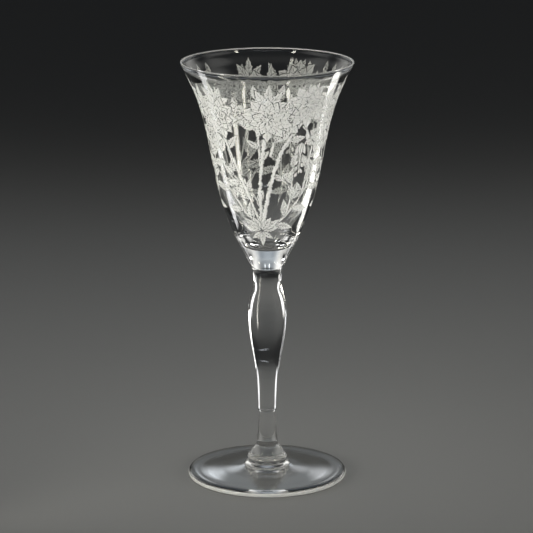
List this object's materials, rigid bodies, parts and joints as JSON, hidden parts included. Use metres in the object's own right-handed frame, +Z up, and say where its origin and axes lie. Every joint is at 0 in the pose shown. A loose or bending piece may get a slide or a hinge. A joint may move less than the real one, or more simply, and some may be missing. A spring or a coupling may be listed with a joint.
{
  "type": "wine glass",
  "caption": "Tall stemmed wine glass: bell-shaped bowl with a flared rim on a solid baluster stem, a stepped wafer and a round hollowed foot.",
  "frame": {"origin": "centre of the ring that the foot rests on, at table height", "axes": "+Z up along the stem, the axis of revolution; X and Y are any two directions across the glass"},
  "size_m": [0.0806, 0.0806, 0.1996],
  "materials": {
    "crystal": "clear and fire polished",
    "etched_crystal": "acid etched to a white frost"
  },
  "bodies": {
    "root": {"bowl": "crystal", "stem": "crystal", "wafer": "crystal", "foot": "crystal"}
  },
  "joints": []
}
